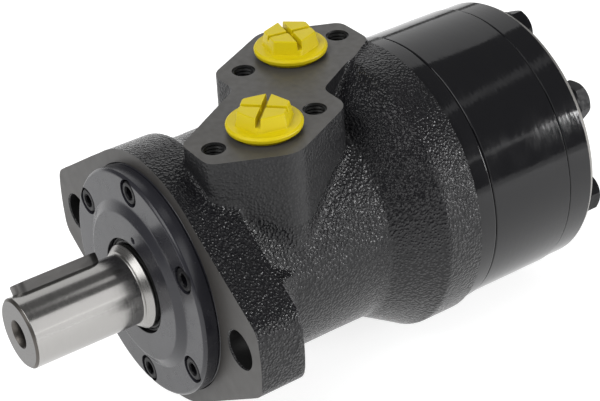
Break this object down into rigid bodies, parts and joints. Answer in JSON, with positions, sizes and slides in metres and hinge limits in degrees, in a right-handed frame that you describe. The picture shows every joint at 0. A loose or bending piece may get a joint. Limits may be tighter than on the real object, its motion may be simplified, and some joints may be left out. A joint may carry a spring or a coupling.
{
  "type": "orbital hydraulic motor",
  "caption": "Roller-type orbital hydraulic motor with an oval mounting flange, keyed parallel shaft, side ports closed by yellow plugs, and a bolted gear set and end cover at the rear.",
  "frame": {"origin": "centre of the flange's mounting face, on the shaft axis", "axes": "-Y along the output shaft and out of it, +Y to the rear cover, +Z out of the port face, X across the two flange ears; the pilot and flange face -Y"},
  "size_m": [0.131, 0.2139, 0.1139],
  "materials": {
    "cast_iron_black": "rough cast iron under black paint",
    "machined_grey": "machined face under thin black paint, semi-gloss",
    "gloss_black": "gloss black paint over turned steel",
    "black_steel": "black painted bolt",
    "ground_steel": "ground bright steel",
    "dark_steel": "hardened dark steel",
    "key_steel": "dark drawn steel",
    "seal_rubber": "matt black",
    "yellow_plastic": "moulded, slightly soft gloss",
    "copper_washer": "soft copper"
  },
  "bodies": {
    "motor_body": {"housing": "cast_iron_black", "front_cover": "machined_grey", "cover_screw_1": "black_steel", "cover_screw_2": "black_steel", "cover_screw_3": "black_steel", "cover_screw_4": "black_steel", "cover_screw_5": "black_steel", "cover_screw_6": "black_steel", "dust_seal": "seal_rubber", "shaft_seal": "seal_rubber", "cover_o_ring": "seal_rubber", "housing_o_ring": "seal_rubber", "plate_o_ring": "seal_rubber", "end_cover_o_ring": "seal_rubber", "thrust_race": "ground_steel", "distributor_plate": "gloss_black", "gear_ring": "gloss_black", "end_cover": "gloss_black", "end_bolt_1": "black_steel", "end_bolt_2": "black_steel", "end_bolt_3": "black_steel", "end_bolt_4": "black_steel", "end_bolt_5": "black_steel", "end_bolt_6": "black_steel", "end_bolt_7": "black_steel", "bolt_washer_1": "black_steel", "bolt_washer_2": "black_steel", "bolt_washer_3": "black_steel", "bolt_washer_4": "black_steel", "bolt_washer_5": "black_steel", "bolt_washer_6": "black_steel", "bolt_washer_7": "black_steel", "drain_plug": "black_steel", "drain_washer": "copper_washer"},
    "shaft": {"output_shaft": "ground_steel", "shaft_key": "key_steel"},
    "needle_cage": {"thrust_needle_cage": "ground_steel"},
    "spacer": {"cardan_spacer": "dark_steel"},
    "star": {"rotor_star": "ground_steel"},
    "cardan": {"cardan_shaft": "dark_steel"},
    "roller_body_1": {"roller_1": "ground_steel"},
    "roller_body_2": {"roller_2": "ground_steel"},
    "roller_body_3": {"roller_3": "ground_steel"},
    "roller_body_4": {"roller_4": "ground_steel"},
    "roller_body_5": {"roller_5": "ground_steel"},
    "roller_body_6": {"roller_6": "ground_steel"},
    "roller_body_7": {"roller_7": "ground_steel"},
    "front_plug": {"port_plug_1": "yellow_plastic"},
    "rear_plug": {"port_plug_2": "yellow_plastic"}
  },
  "joints": [
    {"name": "shaft_rotation", "type": "hinge", "parent": "motor_body", "child": "shaft", "pos_m": [0, 0, 0], "axis": [0, -1, 0], "continuous": true},
    {"name": "cage_rotation", "type": "hinge", "parent": "motor_body", "child": "needle_cage", "pos_m": [0, 0.011, 0], "axis": [0, -1, 0], "continuous": true},
    {"name": "star_orbit", "type": "hinge", "parent": "motor_body", "child": "spacer", "pos_m": [0, 0.126, 0], "axis": [0, -1, 0], "continuous": true},
    {"name": "star_rotation", "type": "hinge", "parent": "spacer", "child": "star", "pos_m": [0.00265, 0.126, 0.00051], "axis": [0, -1, 0], "continuous": true},
    {"name": "cardan_rotation", "type": "hinge", "parent": "spacer", "child": "cardan", "pos_m": [0, 0.04, 0], "axis": [-0.0308, -0.9995, -0.0059], "continuous": true},
    {"name": "roller_rotation_1", "type": "hinge", "parent": "motor_body", "child": "roller_body_1", "pos_m": [0.03536, 0.126, 0.00674], "axis": [0, -1, 0], "continuous": true},
    {"name": "roller_rotation_2", "type": "hinge", "parent": "motor_body", "child": "roller_body_2", "pos_m": [0.01678, 0.126, 0.03185], "axis": [0, -1, 0], "continuous": true},
    {"name": "roller_rotation_3", "type": "hinge", "parent": "motor_body", "child": "roller_body_3", "pos_m": [-0.01444, 0.126, 0.03298], "axis": [0, -1, 0], "continuous": true},
    {"name": "roller_rotation_4", "type": "hinge", "parent": "motor_body", "child": "roller_body_4", "pos_m": [-0.03478, 0.126, 0.00927], "axis": [0, -1, 0], "continuous": true},
    {"name": "roller_rotation_5", "type": "hinge", "parent": "motor_body", "child": "roller_body_5", "pos_m": [-0.02894, 0.126, -0.02141], "axis": [0, -1, 0], "continuous": true},
    {"name": "roller_rotation_6", "type": "hinge", "parent": "motor_body", "child": "roller_body_6", "pos_m": [-0.0013, 0.126, -0.03598], "axis": [0, -1, 0], "continuous": true},
    {"name": "roller_rotation_7", "type": "hinge", "parent": "motor_body", "child": "roller_body_7", "pos_m": [0.02732, 0.126, -0.02345], "axis": [0, -1, 0], "continuous": true},
    {"name": "front_plug_pull", "type": "slide", "parent": "motor_body", "child": "front_plug", "axis": [0, 0, 1], "range_m": [0, 0.03]},
    {"name": "rear_plug_pull", "type": "slide", "parent": "motor_body", "child": "rear_plug", "axis": [0, 0, 1], "range_m": [0, 0.03]}
  ],
  "couplings": [
    {"joint": "cage_rotation", "follows": "shaft_rotation", "ratio": 0.5},
    {"joint": "star_orbit", "follows": "shaft_rotation", "ratio": -6},
    {"joint": "star_rotation", "follows": "shaft_rotation", "ratio": 7},
    {"joint": "cardan_rotation", "follows": "shaft_rotation", "ratio": 7}
  ]
}
